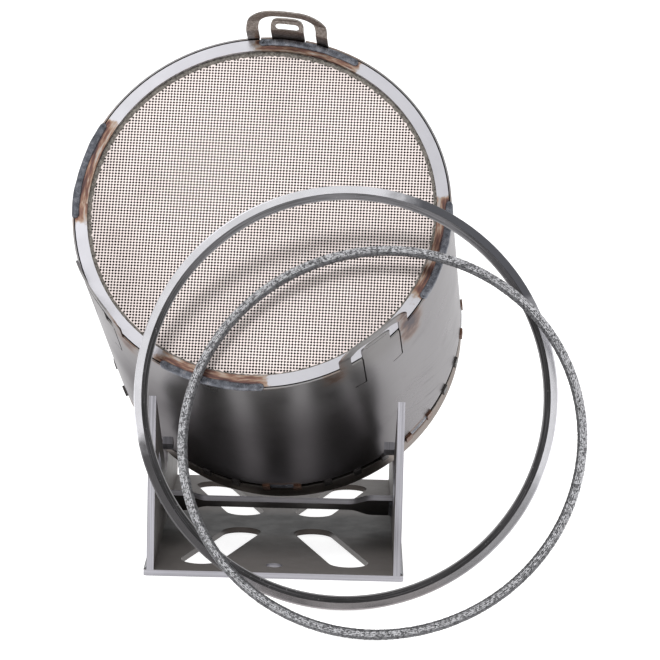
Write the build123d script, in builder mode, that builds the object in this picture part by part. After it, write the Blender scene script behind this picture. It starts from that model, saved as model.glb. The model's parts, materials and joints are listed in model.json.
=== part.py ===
from build123d import *

import math
import os

os.makedirs("parts", exist_ok=True)

# Frame: millimetres, +Z up, front towards -Y, origin at the centre of the base plate's underside.

# ---------------------------------------------------------------- stand, driving dimensions
base_width = 218
base_depth = 380
base_thickness = 5
base_corner_radius = 3
base_hole_radius = 7
base_hole_inset = 27

# Ends of the round-ended cut-out in the quadrant +X +Y, repeated by mirroring.
cutout_inner_end = (31.6, 41)
cutout_outer_end = (62.5, 147)
cutout_width = 34

cheek_inner = 100.4
cheek_thickness = 6
cheek_front_height = 153.3
cheek_back_height = 45
notch_floor = (-12, 50)
notch_back = (9, 59)
shoulder_length = 44
shoulder_crest = 24
window_centre = (-112, 66)
window_length = 76
window_height = 32

brace_thickness = 5
brace_front_middle = (-40, 36.8)
brace_middle_width = 17
brace_end_front_reach = 13
brace_end_back_reach = 14
brace_neck = 66
brace_shoulder = 80
brace_fillet = 11

pad_width = 9
pad_length = 15
pad_thickness = 7
pad_front = (-81, 97)

base_weld_leg = 2.2
brace_weld_leg = 3
weld_end_margin = 4

# ---------------------------------------------------------------- canister, driving dimensions
tilt_angle = 29.75
yaw_angle = -4.74
rim_centre = (-16.4, -188.6, 310.9)

shell_radius = 156.5
shell_sheet = 1.3
shell_length = 254
canister_length = 288.4

ring_inner_radius = 144.5
ring_outer_radius = 154.2
ring_thickness = 3

can_outer_radius = 149.1
can_sheet = 1.5
core_radius = 142.875
core_recess = 6
mat_recess = 7.5

band_outer_radius = 156
band_back_thickness = 3
sleeve_radius = 151.5
sleeve_sheet = 1.9
sleeve_overlap = 6
groove_width = 11

tooth_count = 36
tooth_pitch = 10
tooth_phase = -2.3
tooth_width = 6.5
tooth_outer_radius = 158.4

bead_centres = (-101.5, -11.5, 78.5, 168.5)
bead_names = ("bottom", "right", "top", "left")
bead_half_angle = 16.5
bead_outer_radii = (157.6, 157.6, 155.1, 157.6)
bead_width = 6.6
bead_height = 2.6

rear_bead_angles = (2.7, -37.3, -87.3, -137.3, 172.7, 132.7, 82.7, 42.7)
rear_bead_span = 7.4
rear_bead_crown = 157.2

seam_angle = 128
seam_span = 2
seam_height = 0.8
seam_margin = 8

# Lifting tabs, cut from the shell sheet: angle round the rim and outward joggle of each.
tabs = ((85.7, 4.6), (-49.0, 1.8), (-145.0, 1.0))
tab_reach = 42
tab_half_angle = 12.6
tab_blank_margin = 1
tab_strip = 8.5
tab_corner_radius = 23
tab_joggle_start = 17
tab_joggle_end = 26
gap_outer_angle = 8.9
gap_inner_angle = 5.1
gap_corner_radius = 14
tongue_reach = 29
tongue_corner_radius = 9
tongue_slot_length = 20
tongue_slot_height = 6
tongue_slot_reach = 20
slit_length = 54
slit_width = 1.2

# ---------------------------------------------------------------- loose rings, driving dimensions
seal_centre = (57.4, -267.35, 170.1)
seal_lean = 8.74
seal_yaw = 3.03
seal_outer_radius = 171.3
seal_facing_radius = 165.3
seal_inner_radius = 159.8
seal_thickness = 5.1
seal_edge_radius = 1.2
facing_setback = 0.7
facing_thickness = 3.6

gasket_centre = (85.25, -309.6, 146.9)
gasket_lean = 28.46
gasket_yaw = -7.27
gasket_outer_radius = 163.7
gasket_radial = 8.2
gasket_thickness = 6.1
gasket_edge_radius = 2.2


def facing_plane(origin, lean, yaw):
    """Plane whose normal points to the front and leans up by lean, turned by yaw about Z."""
    lean = math.radians(lean)
    yaw = math.radians(yaw)
    normal = (math.sin(yaw) * math.cos(lean), -math.cos(yaw) * math.cos(lean), math.sin(lean))
    return Plane(origin=origin, x_dir=(math.cos(yaw), math.sin(yaw), 0), z_dir=normal)


rim_plane = facing_plane(rim_centre, tilt_angle, yaw_angle)
rim_axis = Axis(rim_plane.origin, rim_plane.z_dir)


def radial_direction(angle):
    """Unit vector out from the canister's axis, angle measured from its horizontal diameter."""
    turn = math.radians(angle)
    return rim_plane.x_dir * math.cos(turn) + rim_plane.y_dir * math.sin(turn)


def radial_plane(angle):
    """Plane through the canister's axis: x runs outwards, y runs along the axis to the front."""
    outward = radial_direction(angle)
    return Plane(origin=rim_plane.origin, x_dir=outward, z_dir=outward.cross(rim_plane.z_dir))


def tangent_plane(angle, radius):
    """Plane touching the canister at an angle: x runs round it, y along the axis to the front."""
    outward = radial_direction(angle)
    origin = rim_plane.origin + outward * radius
    return Plane(origin=origin, x_dir=rim_plane.z_dir.cross(outward) * -1, z_dir=outward * -1)


def stand_side_plane(x):
    """Plane across the stand: its x is the frame's Y and its y is the frame's Z."""
    return Plane(origin=(x, 0, 0), x_dir=(0, 1, 0), z_dir=(1, 0, 0))


def slope_point(start, along, rise=0):
    """Point in the stand's side view, along the canister's slope (down and back) from start."""
    slope = math.radians(tilt_angle)
    y = start[0] + along * math.cos(slope) + rise * math.sin(slope)
    z = start[1] - along * math.sin(slope) + rise * math.cos(slope)
    return (y, z)


# ---------------------------------------------------------------- stand
with BuildPart() as base_plate:
    with BuildSketch():
        Rectangle(base_width, base_depth)
        for side in (1, -1):
            for end in (1, -1):
                inner = Vector(side * cutout_inner_end[0], end * cutout_inner_end[1])
                outer = Vector(side * cutout_outer_end[0], end * cutout_outer_end[1])
                SlotCenterPoint((inner + outer) / 2, outer, cutout_width, mode=Mode.SUBTRACT)
        with Locations((0, base_hole_inset - base_depth / 2)):
            Circle(base_hole_radius, mode=Mode.SUBTRACT)
    extrude(amount=base_thickness)
    fillet(base_plate.edges().filter_by(Axis.Z).group_by(Axis.Y)[0], base_corner_radius)
    fillet(base_plate.edges().filter_by(Axis.Z).group_by(Axis.Y)[-1], base_corner_radius)
base_plate.part.label = "base_plate"
export_step(base_plate.part, "parts/base_plate.step")


def cheek(x):
    """Side plate with a sloped rest for the canister, a shoulder behind it and one window."""
    front = -base_depth / 2
    back = base_depth / 2
    shoulder_top = slope_point(notch_back, 0, shoulder_length)
    with BuildPart() as plate:
        with BuildSketch(stand_side_plane(x)):
            with BuildLine():
                Polyline(
                    (front, base_thickness),
                    (front, cheek_front_height),
                    notch_floor,
                    notch_back,
                    shoulder_top,
                    (shoulder_top[0] + shoulder_crest, shoulder_top[1]),
                    (back, cheek_back_height),
                    (back, base_thickness),
                    close=True,
                )
            make_face()
            with Locations(window_centre):
                SlotOverall(window_length, window_height, rotation=-tilt_angle, mode=Mode.SUBTRACT)
        extrude(amount=cheek_thickness)
    return plate.part


left_cheek = cheek(-cheek_inner - cheek_thickness)
left_cheek.label = "left_cheek"
export_step(left_cheek, "parts/left_cheek.step")

right_cheek = cheek(cheek_inner)
right_cheek.label = "right_cheek"
export_step(right_cheek, "parts/right_cheek.step")

# Dog-bone tie between the cheeks, parallel to the canister's slope.
brace_end_width = brace_end_front_reach + brace_middle_width + brace_end_back_reach
brace_plane = Plane(
    origin=(0, brace_front_middle[0], brace_front_middle[1]),
    x_dir=(1, 0, 0),
    z_dir=(0, math.sin(math.radians(tilt_angle)), math.cos(math.radians(tilt_angle))),
)
with BuildPart() as cross_brace:
    with BuildSketch(brace_plane):
        with BuildLine():
            Polyline(
                (0, 0),
                (brace_neck, 0),
                (brace_shoulder, -brace_end_front_reach),
                (cheek_inner, -brace_end_front_reach),
                (cheek_inner, brace_middle_width + brace_end_back_reach),
                (brace_shoulder, brace_middle_width + brace_end_back_reach),
                (brace_neck, brace_middle_width),
                (0, brace_middle_width),
                close=True,
            )
        make_face()
        bends = [v for v in vertices() if brace_neck / 2 < v.X < (brace_shoulder + cheek_inner) / 2]
        fillet(bends, brace_fillet)
        mirror(about=Plane.YZ)
    extrude(amount=-brace_thickness)
cross_brace.part.label = "cross_brace"
export_step(cross_brace.part, "parts/cross_brace.step")


def rest_pad(side):
    """Small sloped block on the inside of a cheek, just under the shell."""
    top_back = slope_point(pad_front, pad_length)
    with BuildPart() as pad:
        with BuildSketch(stand_side_plane(side * cheek_inner)):
            with BuildLine():
                Polyline(
                    pad_front,
                    top_back,
                    slope_point(pad_front, pad_length, -pad_thickness),
                    slope_point(pad_front, 0, -pad_thickness),
                    close=True,
                )
            make_face()
        extrude(amount=-side * pad_width)
    return pad.part


left_pad = rest_pad(-1)
left_pad.label = "left_rest_pad"
export_step(left_pad, "parts/left_rest_pad.step")

right_pad = rest_pad(1)
right_pad.label = "right_rest_pad"
export_step(right_pad, "parts/right_rest_pad.step")

# Fillet welds: each cheek to the ledge outside it, and each end of the brace to its cheek from below.
with BuildPart() as stand_welds:
    for side in (1, -1):
        ledge_corner = side * (cheek_inner + cheek_thickness)
        with BuildSketch(Plane.XZ.offset(weld_end_margin - base_depth / 2)):
            with BuildLine():
                Polyline(
                    (ledge_corner, base_thickness),
                    (ledge_corner + side * base_weld_leg, base_thickness),
                    (ledge_corner, base_thickness + base_weld_leg),
                    close=True,
                )
            make_face()
        extrude(amount=base_depth - 2 * weld_end_margin)
        brace_end_plane = Plane(
            origin=brace_plane.origin + brace_plane.y_dir * (weld_end_margin - brace_end_front_reach),
            x_dir=(1, 0, 0),
            z_dir=brace_plane.y_dir,
        )
        brace_corner = side * cheek_inner
        with BuildSketch(brace_end_plane):
            with BuildLine():
                Polyline(
                    (brace_corner, brace_thickness),
                    (brace_corner - side * brace_weld_leg, brace_thickness),
                    (brace_corner, brace_thickness + brace_weld_leg),
                    close=True,
                )
            make_face()
        extrude(amount=brace_end_width - 2 * weld_end_margin)
stand_welds.part.label = "stand_welds"
export_step(stand_welds.part, "parts/stand_welds.step")


# ---------------------------------------------------------------- canister
def ring_of_revolution(points, name):
    """Solid turned from an outline of (radius, distance in front of the rim) points."""
    with BuildPart() as turned:
        with BuildSketch(radial_plane(0)):
            with BuildLine():
                Polyline(*points, close=True)
            make_face()
        revolve(axis=rim_axis)
    turned.part.label = name
    export_step(turned.part, f"parts/{name}.step")
    return turned.part


def annulus(inner, outer, front, back):
    """Four corners of a plain ring's section."""
    return ((inner, back), (outer, back), (outer, front), (inner, front))


def arch(half_width, reach, radius):
    """Rectangle standing on the x axis with its two far corners rounded."""
    with BuildSketch() as outline:
        Rectangle(2 * half_width, reach, align=(Align.CENTER, Align.MIN))
        fillet(outline.vertices().group_by(Axis.Y)[-1], radius)
    return outline.sketch


def tab(angle, joggle):
    """Joggled lifting tab standing on the rim: an outer loop and a slotted tongue in it."""
    inner = shell_radius - shell_sheet
    outer = shell_radius
    half_width = outer * math.sin(math.radians(tab_half_angle))
    gap_outer = outer * math.sin(math.radians(gap_outer_angle))
    gap_inner = outer * math.sin(math.radians(gap_inner_angle))
    blank_half_angle = tab_half_angle + tab_blank_margin
    with BuildPart() as piece:
        with BuildSketch(radial_plane(angle - blank_half_angle)):
            with BuildLine():
                Polyline(
                    (inner, 0),
                    (inner, tab_joggle_start),
                    (inner + joggle, tab_joggle_end),
                    (inner + joggle, tab_reach),
                    (outer + joggle, tab_reach),
                    (outer + joggle, tab_joggle_end),
                    (outer, tab_joggle_start),
                    (outer, 0),
                    close=True,
                )
            make_face()
        revolve(axis=rim_axis, revolution_arc=2 * blank_half_angle)
        with BuildSketch(tangent_plane(angle, shell_radius / 2)):
            add(arch(half_width, tab_reach, tab_corner_radius))
            add(arch(gap_outer, tab_reach - tab_strip, gap_corner_radius), mode=Mode.SUBTRACT)
            add(arch(gap_inner, tongue_reach, tongue_corner_radius))
            with Locations((0, tongue_slot_reach)):
                SlotOverall(tongue_slot_length, tongue_slot_height, mode=Mode.SUBTRACT)
        extrude(amount=-shell_radius, mode=Mode.INTERSECT)
    return piece.part


def slit(angle):
    """Cutter for one slit below the rim, with its short hook along the circumference."""
    hook_angle = gap_outer_angle - gap_inner_angle
    hook = shell_radius * math.sin(math.radians(hook_angle))
    with BuildPart() as cutter:
        with BuildSketch(tangent_plane(angle, shell_radius - 4 * shell_sheet)):
            Rectangle(slit_width, slit_length, align=(Align.CENTER, Align.MAX))
            with Locations((0, -slit_length)):
                Rectangle(hook, slit_width, align=(Align.MIN, Align.MIN))
        extrude(amount=-8 * shell_sheet)
    return cutter.part


tab_pieces = [tab(angle, joggle) for angle, joggle in tabs]
slit_cutters = [slit(angle + offset) for angle, _ in tabs for offset in (-gap_inner_angle, gap_outer_angle)]

with BuildPart() as outer_shell:
    with BuildSketch(rim_plane.offset(-shell_length)):
        Circle(shell_radius)
        Circle(shell_radius - shell_sheet, mode=Mode.SUBTRACT)
    extrude(amount=shell_length)
    add(slit_cutters, mode=Mode.SUBTRACT)
    add(tab_pieces)
outer_shell.part.label = "outer_shell"
export_step(outer_shell.part, "parts/outer_shell.step")

# Lengthwise weld of the rolled shell sheet.
with BuildPart() as shell_seam_weld:
    with BuildSketch(radial_plane(seam_angle)):
        with BuildLine():
            Polyline(
                *annulus(
                    shell_radius,
                    shell_radius + seam_height,
                    -seam_margin,
                    seam_margin - shell_length,
                ),
                close=True,
            )
        make_face()
    revolve(axis=rim_axis, revolution_arc=seam_span)
shell_seam_weld.part.label = "shell_seam_weld"
export_step(shell_seam_weld.part, "parts/shell_seam_weld.step")

ring_of_revolution(annulus(ring_inner_radius, ring_outer_radius, 0, -ring_thickness), "front_ring")

# Rear ring: a thin sleeve that enters the shell, then a thick band beyond an open groove.
sleeve_inner_radius = sleeve_radius - sleeve_sheet
groove_back = -shell_length - groove_width
band_front_of_back = band_back_thickness - canister_length
ring_of_revolution(
    (
        (ring_inner_radius, -canister_length),
        (band_outer_radius, -canister_length),
        (band_outer_radius, groove_back),
        (sleeve_radius, groove_back),
        (sleeve_radius, sleeve_overlap - shell_length),
        (sleeve_inner_radius, sleeve_overlap - shell_length),
        (sleeve_inner_radius, band_front_of_back),
        (ring_inner_radius, band_front_of_back),
    ),
    "rear_ring",
)

can_inner_radius = can_outer_radius - can_sheet
ring_of_revolution(
    annulus(can_inner_radius, can_outer_radius, -ring_thickness, band_front_of_back), "inner_can"
)
ring_of_revolution(
    annulus(core_radius, can_inner_radius, -mat_recess, mat_recess - canister_length), "support_mat"
)

with BuildPart() as honeycomb_core:
    with BuildSketch(rim_plane.offset(core_recess - canister_length)):
        Circle(core_radius)
    extrude(amount=canister_length - 2 * core_recess)
honeycomb_core.part.label = "honeycomb_core"
export_step(honeycomb_core.part, "parts/honeycomb_core.step")

# Spacer teeth across the groove between the end of the shell and the rear ring's band.
tooth_half_angle = math.degrees(tooth_width / band_outer_radius) / 2
with BuildPart() as rear_teeth:
    for index in range(tooth_count):
        start = tooth_phase + index * tooth_pitch - tooth_half_angle
        with BuildSketch(radial_plane(start)):
            with BuildLine():
                Polyline(
                    *annulus(sleeve_radius, tooth_outer_radius, -shell_length, groove_back),
                    close=True,
                )
            make_face()
        revolve(axis=rim_axis, revolution_arc=2 * tooth_half_angle)
rear_teeth.part.label = "rear_teeth"
export_step(rear_teeth.part, "parts/rear_teeth.step")

with BuildPart() as rear_welds:
    for angle in rear_bead_angles:
        with BuildSketch(radial_plane(angle - rear_bead_span / 2)):
            with BuildLine():
                Polyline(
                    (sleeve_radius, -shell_length),
                    (sleeve_radius, groove_back),
                    (band_outer_radius, groove_back),
                    (rear_bead_crown, (groove_back - shell_length) / 2),
                    (shell_radius, -shell_length),
                    close=True,
                )
            make_face()
        revolve(axis=rim_axis, revolution_arc=rear_bead_span)
rear_welds.part.label = "rear_welds"
export_step(rear_welds.part, "parts/rear_welds.step")

# Four convex beads that join the front ring to the shell's rim.
for bead_name, centre, bead_outer_radius in zip(bead_names, bead_centres, bead_outer_radii):
    with BuildPart() as bead:
        with BuildSketch(radial_plane(centre - bead_half_angle)):
            with BuildLine():
                left = (bead_outer_radius - bead_width, 0)
                right = (bead_outer_radius, 0)
                crown = (bead_outer_radius - bead_width / 2, bead_height)
                ThreePointArc(left, crown, right)
                Line(right, left)
            make_face()
        revolve(axis=rim_axis, revolution_arc=2 * bead_half_angle)
    bead.part.label = f"front_weld_{bead_name}"
    export_step(bead.part, f"parts/front_weld_{bead_name}.step")

# ---------------------------------------------------------------- loose rings
seal_plane = facing_plane(seal_centre, seal_lean, seal_yaw)
gasket_plane = facing_plane(gasket_centre, gasket_lean, gasket_yaw)

with BuildPart() as seal_ring:
    with BuildSketch(seal_plane.offset(-seal_thickness)):
        Circle(seal_outer_radius)
        Circle(seal_facing_radius, mode=Mode.SUBTRACT)
    extrude(amount=seal_thickness)
    rims = seal_ring.edges().filter_by(GeomType.CIRCLE)
    fillet(rims.group_by(SortBy.RADIUS)[-1], seal_edge_radius)
seal_ring.part.label = "seal_ring"
export_step(seal_ring.part, "parts/seal_ring.step")

with BuildPart() as seal_ring_facing:
    with BuildSketch(seal_plane.offset(-facing_setback - facing_thickness)):
        Circle(seal_facing_radius)
        Circle(seal_inner_radius, mode=Mode.SUBTRACT)
    extrude(amount=facing_thickness)
seal_ring_facing.part.label = "seal_ring_facing"
export_step(seal_ring_facing.part, "parts/seal_ring_facing.step")

with BuildPart() as mesh_gasket:
    with BuildSketch(gasket_plane.offset(-gasket_thickness)):
        Circle(gasket_outer_radius)
        Circle(gasket_outer_radius - gasket_radial, mode=Mode.SUBTRACT)
    extrude(amount=gasket_thickness)
    fillet(mesh_gasket.edges().filter_by(GeomType.CIRCLE), gasket_edge_radius)
mesh_gasket.part.label = "mesh_gasket"
export_step(mesh_gasket.part, "parts/mesh_gasket.step")
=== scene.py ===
import json
import math

import bpy
import numpy as np
from mathutils import Matrix, Vector
from mathutils.geometry import delaunay_2d_cdt


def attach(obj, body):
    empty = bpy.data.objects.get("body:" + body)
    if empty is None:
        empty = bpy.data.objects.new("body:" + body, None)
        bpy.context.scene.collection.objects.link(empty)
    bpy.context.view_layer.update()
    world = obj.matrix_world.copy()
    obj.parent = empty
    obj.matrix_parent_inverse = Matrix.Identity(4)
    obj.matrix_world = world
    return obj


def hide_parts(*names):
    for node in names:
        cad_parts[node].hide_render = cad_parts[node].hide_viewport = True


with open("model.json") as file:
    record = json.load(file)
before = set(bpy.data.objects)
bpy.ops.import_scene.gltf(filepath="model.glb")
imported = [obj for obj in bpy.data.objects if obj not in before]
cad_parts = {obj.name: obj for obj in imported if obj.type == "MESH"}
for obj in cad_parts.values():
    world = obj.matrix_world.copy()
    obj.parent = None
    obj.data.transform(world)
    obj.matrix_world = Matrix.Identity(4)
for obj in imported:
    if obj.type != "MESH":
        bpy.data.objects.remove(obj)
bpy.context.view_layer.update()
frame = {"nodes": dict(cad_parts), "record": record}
MM = 0.001
nodes = frame["nodes"]


# ---------------------------------------------------------------- places read from the frame
def points_of(node):
    """The vertices of a CAD node as rows of metres."""
    mesh = nodes[node].data
    flat = np.empty(len(mesh.vertices) * 3)
    mesh.vertices.foreach_get("co", flat)
    return flat.reshape(-1, 3)


class Disc:
    """The plane of a round CAD node: centre of its front face, right, up and front directions."""

    def __init__(self, node, like=None):
        points = points_of(node)
        self.centre = points.mean(0)
        if like:
            self.right, self.up, self.front = like.right, like.up, like.front
        else:
            thin = np.linalg.svd(points - self.centre, full_matrices=False)[2][2]
            self.front = -thin if thin[1] > 0 else thin
            across = np.cross((0, 0, 1), self.front)
            self.right = across / np.linalg.norm(across)
            self.up = np.cross(self.front, self.right)
        local = self.to_local(points)
        low, high = local.min(0), local.max(0)
        shift = np.array(((low[0] + high[0]) / 2, (low[1] + high[1]) / 2, high[2]))
        self.centre = self.to_frame(shift[None])[0]
        radii = np.hypot(*(self.to_local(points)[:, :2]).T)
        self.inner, self.outer = radii.min(), radii.max()
        self.depth = high[2] - low[2]

    def to_local(self, points):
        """Columns along right, up and front of points in the frame."""
        return (points - self.centre) @ np.array((self.right, self.up, self.front)).T

    def to_frame(self, local):
        """Points in the frame from columns along right, up and front."""
        return self.centre + local @ np.array((self.right, self.up, self.front))

    def polar(self, angle, radius, rise):
        """Points in the frame from an angle in radians, a radius and a height in front."""
        angle, radius, rise = np.broadcast_arrays(angle, radius, rise)
        local = np.stack((radius * np.cos(angle), radius * np.sin(angle), rise), -1)
        return self.to_frame(local.reshape(-1, 3))

    def span(self, node):
        """Middle angle, half angle, lowest and highest radius and height of a node."""
        local = self.to_local(points_of(node))
        angle = np.arctan2(local[:, 1], local[:, 0])
        middle = math.atan2(np.sin(angle).mean(), np.cos(angle).mean())
        away = (angle - middle + math.pi) % (2 * math.pi) - math.pi
        middle += (away.min() + away.max()) / 2
        half = (away.max() - away.min()) / 2
        radii = np.hypot(local[:, 0], local[:, 1])
        return middle, half, radii.min(), radii.max(), local[:, 2].min(), local[:, 2].max()


drum = Disc("front_ring")
seal = Disc("seal_ring")
gasket = Disc("mesh_gasket")
gasket_radius = (gasket.outer + gasket.inner) / 2


def extent(disc, node):
    """Smallest and greatest radius, and lowest and highest height, of a node in millimetres."""
    local = disc.to_local(points_of(node)) / MM
    radii = np.hypot(local[:, 0], local[:, 1])
    return radii.min(), radii.max(), local[:, 2].min(), local[:, 2].max()


def middle_angles(points):
    """Middle angle in degrees of each group of points round the drum, 15 degrees or more apart."""
    local = drum.to_local(points)
    angles = np.sort(np.degrees(np.arctan2(local[:, 1], local[:, 0])))
    groups = np.split(angles, np.where(np.diff(angles) > 15)[0] + 1)
    return [float(group.min() + group.max()) / 2 for group in groups]


# ---------------------------------------------------------------- meshes
def make_piece(name, points, faces, material, body, smooth=True):
    """A mesh piece that rides on a body, with the material it is given."""
    mesh = bpy.data.meshes.new(name)
    mesh.from_pydata([tuple(p) for p in points], [], [tuple(int(i) for i in f) for f in faces])
    mesh.validate()
    piece = bpy.data.objects.new(name, mesh)
    bpy.context.scene.collection.objects.link(piece)
    mesh.materials.append(material)
    if smooth:
        mesh.shade_smooth()
    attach(piece, body)
    return piece


def grid_faces(rows, columns, wrap_rows=False, wrap_columns=False):
    """Quads of a grid of points stored row by row."""
    r = np.arange(rows if wrap_rows else rows - 1)[:, None]
    c = np.arange(columns if wrap_columns else columns - 1)[None, :]
    next_r = (r + 1) % rows
    next_c = (c + 1) % columns
    corners = (r * columns + c, next_r * columns + c, next_r * columns + next_c, r * columns + next_c)
    return np.stack(np.broadcast_arrays(*corners), -1).reshape(-1, 4)


def wave_noise(seed, *coordinates, waves=14, low=0.5, high=3.0):
    """Smooth noise from about -1 to 1: a sum of seeded waves over the coordinates."""
    random = np.random.default_rng(seed)
    total = 0
    for _ in range(waves):
        turn = random.uniform(0, 2 * math.pi)
        for coordinate in coordinates:
            turn = turn + random.uniform(low, high) * random.choice((-1, 1)) * coordinate
        total = total + np.sin(turn)
    return total / math.sqrt(waves)


# ---------------------------------------------------------------- shader helper
class Shader:
    """One node material, with short calls for the nodes it uses."""

    def __init__(self, name, metallic=1.0, roughness=0.4):
        self.material = bpy.data.materials.new(name)
        self.material.use_nodes = True
        self.tree = self.material.node_tree
        self.bsdf = self.tree.nodes["Principled BSDF"]
        self.bsdf.inputs["Metallic"].default_value = metallic
        self.bsdf.inputs["Roughness"].default_value = roughness
        coordinates = self.node("ShaderNodeTexCoord")
        # The shaded point in millimetres.
        self.place = self.vector("SCALE", coordinates.outputs["Object"], scale=1 / MM)

    def node(self, kind, **settings):
        made = self.tree.nodes.new(kind)
        for key, value in settings.items():
            setattr(made, key, value)
        return made

    def put(self, socket, value):
        """Links a socket, or sets its own value."""
        if isinstance(value, bpy.types.NodeSocket):
            self.tree.links.new(value, socket)
        elif isinstance(value, (tuple, list)) and socket.type == "RGBA" and len(value) == 3:
            socket.default_value = (*value, 1)
        else:
            socket.default_value = value

    def set(self, **values):
        """Sets or links inputs of the surface, with underscores for the spaces in their names."""
        for key, value in values.items():
            self.put(self.bsdf.inputs[key.replace("_", " ")], value)

    def math(self, operation, a, b=0.0):
        made = self.node("ShaderNodeMath", operation=operation)
        self.put(made.inputs[0], a)
        self.put(made.inputs[1], b)
        return made.outputs[0]

    def times(self, a, b):
        return self.math("MULTIPLY", a, b)

    def most(self, values):
        """The greatest of several values."""
        greatest = values[0]
        for value in values[1:]:
            greatest = self.math("MAXIMUM", greatest, value)
        return greatest

    def vector(self, operation, a, b=(0, 0, 0), scale=1.0):
        made = self.node("ShaderNodeVectorMath", operation=operation)
        self.put(made.inputs[0], a)
        if operation == "SCALE":
            self.put(made.inputs["Scale"], scale)
        elif operation != "ABSOLUTE":
            self.put(made.inputs[1], b)
        return made.outputs["Value" if operation == "DOT_PRODUCT" else "Vector"]

    def parts(self, vector):
        """The x, y and z of a vector."""
        made = self.node("ShaderNodeSeparateXYZ")
        self.put(made.inputs[0], vector)
        return tuple(made.outputs)

    def combine(self, x, y, z):
        """A vector from its x, y and z."""
        made = self.node("ShaderNodeCombineXYZ")
        for socket, value in zip(made.inputs, (x, y, z)):
            self.put(socket, value)
        return made.outputs[0]

    def mix(self, factor, a, b):
        """Colour a where the factor is 0 and colour b where it is 1."""
        made = self.node("ShaderNodeMix", data_type="RGBA", clamp_factor=True)
        self.put(made.inputs[0], factor)
        self.put(made.inputs[6], a)
        self.put(made.inputs[7], b)
        return made.outputs[2]

    def step(self, value, low, high, to_low=0.0, to_high=1.0):
        """Smooth step between low and high."""
        made = self.node("ShaderNodeMapRange", interpolation_type="SMOOTHSTEP")
        for index, item in enumerate((value, low, high, to_low, to_high)):
            self.put(made.inputs[index], item)
        return made.outputs[0]

    def fall(self, value, low, high):
        """Smooth step down, from 1 at low to 0 at high."""
        return self.step(value, low, high, 1.0, 0.0)

    def noise(self, scale, vector=None, detail=3.0, roughness=0.55, distortion=0.0):
        made = self.node("ShaderNodeTexNoise")
        self.put(made.inputs["Vector"], self.place if vector is None else vector)
        made.inputs["Scale"].default_value = scale
        made.inputs["Detail"].default_value = detail
        made.inputs["Roughness"].default_value = roughness
        made.inputs["Distortion"].default_value = distortion
        return made.outputs[0]

    def stretched(self, x, y, z):
        """The place with its axes scaled, for noise that runs in lines."""
        return self.vector("MULTIPLY", self.place, (x, y, z))

    def ramp(self, value, *stops):
        made = self.node("ShaderNodeValToRGB")
        self.put(made.inputs[0], value)
        elements = made.color_ramp.elements
        while len(elements) < len(stops):
            elements.new(0.5)
        for element, (position, colour) in zip(elements, stops):
            element.position = position
            element.color = (*colour, 1)
        return made.outputs[0]

    def bump(self, height, distance, strength=1.0):
        """Bump with its height in millimetres times distance, added to any bump made before."""
        made = self.node("ShaderNodeBump")
        made.inputs["Strength"].default_value = strength
        made.inputs["Distance"].default_value = distance * MM
        self.put(made.inputs["Height"], height)
        normal = self.bsdf.inputs["Normal"]
        if normal.is_linked:
            self.tree.links.new(normal.links[0].from_socket, made.inputs["Normal"])
        self.tree.links.new(made.outputs[0], normal)

    def polar(self, disc):
        """(angle in degrees, radius, height in front) of the shaded point, in millimetres."""
        away = self.vector("SUBTRACT", self.place, tuple(disc.centre / MM))
        x, y, z = (self.vector("DOT_PRODUCT", away, tuple(d)) for d in (disc.right, disc.up, disc.front))
        angle = self.times(self.math("ARCTAN2", y, x), 180 / math.pi)
        radius = self.math("SQRT", self.math("ADD", self.times(x, x), self.times(y, y)))
        return angle, radius, z

    def near_angle(self, angle, centre, half, soft):
        """1 within half degrees of the centre angle, falling to 0 over soft degrees more."""
        away = self.math("ABSOLUTE", self.wrapped(angle, centre))
        return self.fall(away, half, half + soft)

    def wrapped(self, angle, centre):
        """Angle minus centre, brought to -180..180 degrees."""
        made = self.node("ShaderNodeMath", operation="WRAP")
        self.put(made.inputs[0], self.math("SUBTRACT", angle, centre))
        made.inputs[1].default_value = 180
        made.inputs[2].default_value = -180
        return made.outputs[0]

    def along(self, direction):
        """How far the surface faces along or against a direction, from 0 to 1."""
        geometry = self.node("ShaderNodeNewGeometry")
        facing_it = self.vector("DOT_PRODUCT", geometry.outputs["True Normal"], direction)
        return self.math("ABSOLUTE", facing_it)


# ---------------------------------------------------------------- materials
# In the materials, lengths are in millimetres and angles in degrees. Heights on the drum and the
# seal ring are counted forwards from their front faces, so they are negative behind them. A pair
# of numbers holds the two ends of a soft step.
# The tone of the painted shade in the gap between the rim and the shell.
PAINTED_SHADE_BLACK = (0.012, 0.011, 0.011)

# Dark and light tone of the plates' cut edges.
EDGE_TONES = ((0.26, 0.256, 0.276), (0.45, 0.442, 0.48))
# A paler copy of the edge tones for the brace: painted light on its edge that faces up.
PAINTED_LIGHT_EDGE_TONES = ((0.52, 0.515, 0.545), (0.74, 0.73, 0.77))
# Lengthwise on the base plate: the painted light along its front, and the rise and fall of the painted
# shadow under the brace.
FRONT_PAINTED_LIGHT = (-115.0, -62.0)
SHADE_RISE = (-62.0, -38.0)
SHADE_FALL = (20.0, 50.0)
# The patch round the hole in the base plate that is kept out of the painted shade: its half width, and
# its back edge.
hole = next(mount for mount in frame["record"]["mounts"] if mount["name"] == "front_hole")
hole_radius = hole["dims"]["r_mm"]
hole_back = hole["pos_m"][1] / MM + hole_radius
HOLE_HALF_WIDTH = (hole_radius + 3.0, hole_radius + 5.0)
HOLE_BACK = (hole_back + 4.0, hole_back + 6.0)

# The lifting tabs' angles: they are all that the shell has in front of the rim.
shell_points = points_of("outer_shell")
tab_points = shell_points[drum.to_local(shell_points)[:, 2] > 4 * MM]
LEFT_TAB, RIGHT_TAB, TOP_TAB = middle_angles(tab_points)
REAR_WELDS = middle_angles(points_of("rear_welds"))
# The part of the drum that faces down, which gets painted shade: its middle angle, half width and
# softness.
PAINTED_SHADE_UNDERSIDE = (-97.0, 36.0, 20.0)
# Scratches on the right flank: their middle angle, half width and softness.
SCRATCHED = (-24.0, 14.0, 12.0)
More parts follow.
